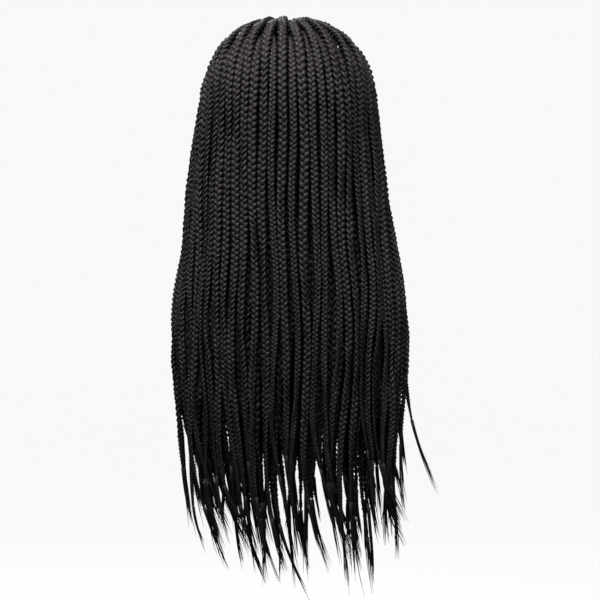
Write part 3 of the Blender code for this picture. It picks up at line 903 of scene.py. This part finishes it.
def add_wig():
    hair = hair_material("braided_fibre", *OUTER_FIBRE)
    # The under braids and their wefts get a darker copy of the fibre: painted shade.
    under_hair_painted_shade = hair_material("braided_fibre_under_painted_shade", *PAINTED_SHADE_UNDER_FIBRE)
    net = net_material("stretch_net")

    labels = []
    routes = []
    for side, word in ((1, "left"), (-1, "right")):
        for place in range(SIDE_BRAIDS):
            scale = STRAY_SCALE if side < 0 and place == SIDE_BRAIDS - 1 else 1.0
            labels.append((f"{word}_braid_{place + 1:02d}", outer_number(side, place), scale))
            routes.append(even_stations(outer_route(side, place)))
    for row in ROWS:
        for index in range(row[1]):
            labels.append((row[0], row_number(row, index), UNDER_SCALE))
            routes.append(even_stations(row_route(row, index)))
    rooms = [rooms_of(route, number, scale) for (_, number, scale), route in zip(labels, routes)]
    widths = [widths_of(route, number, scale) for (_, number, scale), route in zip(labels, routes)]
    routes = settle(routes, rooms)

    braids = list(zip(labels, routes, widths))
    for (name, number, _), route, width in braids[: 2 * SIDE_BRAIDS]:
        mesh = Mesh()
        add_braid(mesh, route, width, number, OUTER_DETAIL)
        mesh.piece("plait_" + name, hair, [name])
    for row in ROWS:
        mesh = Mesh()
        add_weft(mesh, row[2], row[3])
        for (name, number, _), route, width in braids:
            if name == row[0]:
                add_braid(mesh, route, width, number, ROW_DETAIL[name])
        mesh.piece("plaits_" + row[0], under_hair_painted_shade, [row[0]])
    add_cap(net)


# The studio: a round pale room, open above.
ROOM_RADIUS = 7.0
FLOOR_Z = -1.05
ROOM_BEND = 2.0
ROOM_HEIGHT = 7.0
ROOM_COLUMNS = 96
ROOM_PALE = (0.10, 0.10, 0.10)
ROOM_GLOW = 0.93

SKY = 0.075
WARM = (1.0, 0.985, 0.975)
WHITE = (1.0, 1.0, 1.0)
LIT = (0.0, 0.08, -0.10)  # the place that the lights face

# The soft boxes: name, place, size, power, colour.
LIGHTS = (
    ("key", (0.40, 0.70, 0.68), 0.65, 12.4, WARM),
    ("fill", (-0.68, 0.76, 0.58), 0.65, 4.6, WHITE),
    ("top", (0.0, 0.40, 0.80), 0.70, 9.0, WARM),
    ("front", (0.5, -2.3, 0.9), 1.40, 36.0, WHITE),
)


def add_room():
    material, _, _, shader = new_material("studio_white")
    shader.inputs["Base Color"].default_value = (*ROOM_PALE, 1.0)
    shader.inputs["Roughness"].default_value = 0.9
    shader.inputs["Specular IOR Level"].default_value = 0.0
    shader.inputs["Emission Color"].default_value = (1.0, 1.0, 0.995, 1.0)
    shader.inputs["Emission Strength"].default_value = ROOM_GLOW
    flat = ROOM_RADIUS - ROOM_BEND
    profile = [(0.02, FLOOR_Z)]
    profile += [(radius, FLOOR_Z) for radius in np.linspace(0.8, flat, 6)]
    for bend in np.linspace(0.0, math.pi / 2, 12)[1:]:
        height = FLOOR_Z + ROOM_BEND * (1.0 - math.cos(bend))
        profile.append((flat + ROOM_BEND * math.sin(bend), height))
    profile.append((ROOM_RADIUS, ROOM_HEIGHT))
    verts = []
    faces = []
    for radius, height in profile:
        for column in range(ROOM_COLUMNS):
            angle = 2.0 * math.pi * column / ROOM_COLUMNS
            verts.append((radius * math.cos(angle), radius * math.sin(angle), height))
    for ring in range(len(profile) - 1):
        for column in range(ROOM_COLUMNS):
            nxt = (column + 1) % ROOM_COLUMNS
            a = ring * ROOM_COLUMNS
            faces.append((a + column, a + nxt, a + ROOM_COLUMNS + nxt, a + ROOM_COLUMNS + column))
    faces.append(tuple(range(ROOM_COLUMNS))[::-1])
    data = bpy.data.meshes.new("studio_room")
    data.from_pydata(verts, [], faces)
    data.polygons.foreach_set("use_smooth", [True] * len(faces))
    data.materials.append(material)
    room = bpy.data.objects.new("studio_room", data)
    bpy.context.scene.collection.objects.link(room)
    # The pale room is the backdrop alone: the wig is lit by the sky and the soft boxes.
    room.visible_diffuse = False
    room.visible_glossy = False
    room.visible_shadow = False


def add_studio():
    add_room()
    world = bpy.data.worlds.new("studio_sky")
    world.use_nodes = True
    sky = world.node_tree.nodes["Background"]
    sky.inputs["Color"].default_value = (*WHITE, 1.0)
    sky.inputs["Strength"].default_value = SKY
    bpy.context.scene.world = world
    for name, place, size, power, colour in LIGHTS:
        data = bpy.data.lights.new(name, "AREA")
        data.shape = "SQUARE"
        data.size = size
        data.energy = power
        data.color = colour
        light = bpy.data.objects.new(name, data)
        light.location = place
        light.rotation_euler = (Vector(LIT) - Vector(place)).to_track_quat("-Z", "Y").to_euler()
        bpy.context.scene.collection.objects.link(light)


# The camera: the wig seen from behind, as the photograph has it.
PIXEL = 0.00118
CAMERA_DISTANCE = 3.0
CAMERA_RISE = 0.17
AXIS_PIXEL = (288.0, 16.0)
TOP_Z = 0.014
FRAME_PIXELS = 600
TARGET_Y = 0.06
SENSOR = 36.0


def add_camera():
    target = Vector(
        (
            (AXIS_PIXEL[0] - FRAME_PIXELS / 2) * PIXEL,
            TARGET_Y,
            TOP_Z - (FRAME_PIXELS / 2 - AXIS_PIXEL[1]) * PIXEL,
        )
    )
    data = bpy.data.cameras.new("camera")
    data.sensor_width = SENSOR
    data.lens = SENSOR * CAMERA_DISTANCE / (FRAME_PIXELS * PIXEL)
    camera = bpy.data.objects.new("camera", data)
    camera.location = target + Vector((0.0, CAMERA_DISTANCE, CAMERA_RISE))
    camera.rotation_euler = (target - camera.location).to_track_quat("-Z", "Y").to_euler()
    bpy.context.scene.collection.objects.link(camera)
    bpy.context.scene.camera = camera


add_wig()
add_studio()
add_camera()
bpy.context.scene.view_settings.view_transform = "Standard"
